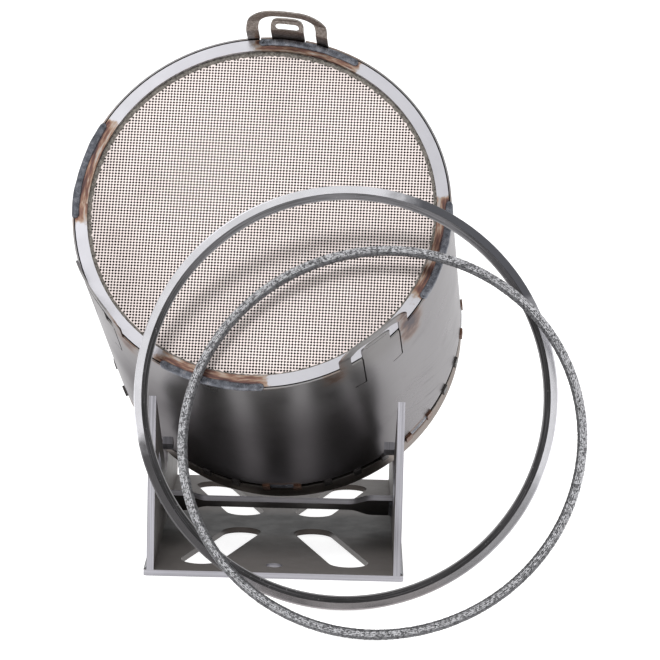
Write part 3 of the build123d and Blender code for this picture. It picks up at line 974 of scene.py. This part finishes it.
def section(around, grow):
    """Place and outward direction on the gasket's rounded section.

    The share around runs from 0 to 1. The outline is grown by a length, or shrunk if it is negative.
    """
    half_w = gasket_width / 2 - SECTION_CORNER
    half_h = gasket.depth / 2 - SECTION_CORNER
    arc = SECTION_CORNER * math.pi / 2
    lengths = np.array((2 * half_w, arc, 2 * half_h, arc) * 2)
    ends = np.concatenate(((0,), np.cumsum(lengths)))
    at = (around % 1) * ends[-1]
    side = np.clip(np.searchsorted(ends, at, side="right") - 1, 0, 7)
    share = (at - ends[side]) / lengths[side]
    corners = np.array(((half_w, half_h), (half_w, -half_h), (-half_w, -half_h), (-half_w, half_h)))
    heading = np.array((0, -math.pi / 2, -math.pi, -3 * math.pi / 2))
    which = side // 2
    straight = side % 2 == 0
    start = corners[(which + 3) % 4]
    finish = corners[which]
    normal_angle = heading[which] + math.pi / 2 - np.where(straight, 0, share * math.pi / 2)
    normal = np.stack((np.cos(normal_angle), np.sin(normal_angle)), -1)
    base = np.where(straight[..., None], start + (finish - start) * share[..., None], finish)
    place = base + normal * (SECTION_CORNER + grow)[..., None]
    return place, normal


def gasket_points(turn, around, grow):
    """Points in the frame from the angle round the ring, around its section, and growth."""
    place, _ = section(around, grow)
    return gasket.polar(turn, gasket_radius + place[..., 0], place[..., 1] - gasket.depth / 2)


def wire_gasket():
    """A lumpy compressed core, and closed courses of flattened wire round it."""
    steps, around_count = 900, 26
    turn = np.linspace(0, 2 * math.pi, steps, endpoint=False)[:, None]
    around = np.linspace(0, 1, around_count, endpoint=False)[None, :]
    lumps = wave_noise(40, turn * gasket_radius / MM * 0.5, around * 9, waves=26, low=0.5, high=3.5)
    grow = (-0.75 + 0.16 * lumps) * MM
    turn_all, around_all, grow_all = np.broadcast_arrays(turn, around, grow)
    core = gasket_points(turn_all, around_all, grow_all)
    core_faces = grid_faces(steps, around_count, wrap_rows=True, wrap_columns=True)
    piece = make_piece(
        "gasket_core", core, core_faces, wire_core_steel(), "mesh_gasket"
    )
    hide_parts("mesh_gasket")
    # One closed flattened wire for each course of the knit, looping into the next course. The
    # wales are its waves around the section, each drawn with this many samples.
    courses, wales, samples = 236, 9, 10
    half_wide, half_high = 0.44 * MM, 0.17 * MM
    random = np.random.default_rng(41)
    t = np.linspace(0, 2 * math.pi * wales, wales * samples, endpoint=False)[None, :]
    course = np.arange(courses)[:, None]
    course_pitch = 2 * math.pi / courses
    jitter = random.uniform(-1, 1, (courses, wales * samples, 3))
    for _ in range(2):
        jitter = (jitter + np.roll(jitter, 1, 1) + np.roll(jitter, -1, 1)) / 2.2
    across = (t + 1.25 * np.sin(2 * t) + 0.55 * jitter[..., 0]) / (2 * math.pi * wales)
    forward = (course + 0.92 * np.cos(t) + 0.30 * jitter[..., 1]) * course_pitch
    drift = 0.02 * wave_noise(43, course * 0.05, waves=5)
    height = (-0.34 + 0.17 * np.cos(2 * t) + 0.07 * jitter[..., 2]) * MM
    line = gasket_points(forward, across + drift, height)
    line = line.reshape(courses, wales * samples, 3)
    ahead = np.roll(line, -1, 1) - np.roll(line, 1, 1)
    ahead /= np.linalg.norm(ahead, axis=-1, keepdims=True)
    _, normal = section(across + drift, height)
    outward = (
        np.cos(forward)[..., None] * gasket.right + np.sin(forward)[..., None] * gasket.up
    ) * normal[..., :1] + gasket.front * normal[..., 1:]
    side_way = np.cross(ahead, outward.reshape(courses, wales * samples, 3))
    side_way /= np.linalg.norm(side_way, axis=-1, keepdims=True)
    out_way = np.cross(side_way, ahead)
    # Section of one wire, in half widths and half heights.
    profile = np.array(((1, 0), (0.5, 1), (-0.5, 1), (-1, 0), (0, -0.6)))
    sides = len(profile)
    sideways = profile[:, :1] * half_wide * side_way[:, :, None]
    outwards = profile[:, 1:] * half_high * out_way[:, :, None]
    tube = line[:, :, None] + (sideways + outwards)
    one = grid_faces(wales * samples, sides, wrap_rows=True, wrap_columns=True)
    offsets = np.arange(courses)[:, None, None] * wales * samples * sides
    faces = (one[None] + offsets).reshape(-1, 4)
    make_piece("gasket_knit", tube.reshape(-1, 3), faces, wire_steel(), "mesh_gasket")


wire_gasket()

# ---------------------------------------------------------------- stage, light and camera
half_floor = 15.0
floor_corners = [(x * half_floor, y * half_floor, 0) for x, y in ((-1, -1), (1, -1), (1, 1), (-1, 1))]
floor_mesh = bpy.data.meshes.new("floor")
floor_mesh.from_pydata(floor_corners, [], [(0, 1, 2, 3)])
floor = bpy.data.objects.new("floor", floor_mesh)
# A hair below the object's foot, so that the two faces don't share a plane.
floor.location = (0, 0, -0.0003)
bpy.context.scene.collection.objects.link(floor)
floor_shader = Shader("floor_paper", metallic=0.0, roughness=0.9)
paper = floor_shader.mix(floor_shader.noise(0.01), (0.50, 0.50, 0.503), (0.54, 0.54, 0.54))
floor_shader.set(Base_Color=paper)
# The paper glows, so that it comes out pure white.
floor_shader.set(Emission_Color=(1.0, 1.0, 1.0), Emission_Strength=0.84)
floor_mesh.materials.append(floor_shader.material)

world = bpy.data.worlds.new("studio")
bpy.context.scene.world = world
world.use_nodes = True
background = world.node_tree.nodes["Background"]
background.inputs[0].default_value = (1.0, 1.0, 1.0, 1)
background.inputs[1].default_value = 0.86


def softbox(name, place, target, width, height, power, glossy=True):
    """A rectangular lamp aimed at a target. Without glossy it doesn't show in reflections."""
    light = bpy.data.lights.new(name, "AREA")
    light.shape = "RECTANGLE"
    light.size, light.size_y = width, height
    light.energy = power
    made = bpy.data.objects.new(name, light)
    bpy.context.scene.collection.objects.link(made)
    made.location = place
    made.rotation_mode = "QUATERNION"
    made.rotation_quaternion = (Vector(target) - Vector(place)).to_track_quat("-Z", "Y")
    made.visible_glossy = glossy


# Places in metres, sizes in metres and powers in watts. The second lamp casts the rings' shadows.
softbox("key", (-1.2, -1.6, 2.6), (0, 0, 0.2), 1.6, 1.2, 6)
softbox("shadow_key", (-0.25, -1.95, 2.15), (0, -0.2, 0.3), 0.45, 0.45, 36, glossy=False)
softbox("fill", (1.8, -1.0, 1.6), (0, 0, 0.2), 1.0, 1.4, 1.2)

camera_data = bpy.data.cameras.new("camera")
camera_data.lens = 179.19
camera_data.sensor_width = 36
camera = bpy.data.objects.new("camera", camera_data)
bpy.context.scene.collection.objects.link(camera)
# Place in metres, angles in radians.
camera_place = (0.05121, -2.86797, 0.66613)
yaw, pitch, roll = 0.0032957, 0.167812, -0.0248119
forward = Vector((-math.sin(yaw) * math.cos(pitch), math.cos(yaw) * math.cos(pitch), -math.sin(pitch)))
level = Vector((math.cos(yaw), math.sin(yaw), 0))
down = forward.cross(level)
right = level * math.cos(roll) + down * math.sin(roll)
below = down * math.cos(roll) - level * math.sin(roll)
turn = Matrix((right, -below, -forward)).transposed()
camera.matrix_world = Matrix.Translation(camera_place) @ turn.to_4x4()
bpy.context.scene.camera = camera
bpy.context.scene.view_settings.view_transform = "Standard"
